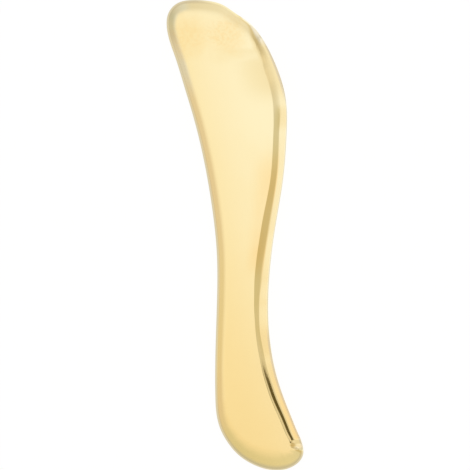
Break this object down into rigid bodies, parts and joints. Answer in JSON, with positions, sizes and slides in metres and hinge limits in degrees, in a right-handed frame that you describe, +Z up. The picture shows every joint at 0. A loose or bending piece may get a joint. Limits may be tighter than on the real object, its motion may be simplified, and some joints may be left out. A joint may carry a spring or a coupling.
{
  "type": "gua sha tool",
  "caption": "Solid brass S-shaped gua sha massage stick with a blunt rounded edge and a thin, hollowed scraping edge.",
  "frame": {"origin": "middle of the bounding box on the surface that the tool lies on, which is its flat back face", "axes": "+Z up out of the front face, +Y along the tool towards its broad head, +X towards the thin scraping edge"},
  "size_m": [0.0342, 0.15, 0.005],
  "materials": {
    "polished_brass": "polished pale gold brass, with faint polishing lines and light tarnish"
  },
  "bodies": {
    "root": {"tool_body": "polished_brass"}
  },
  "joints": []
}
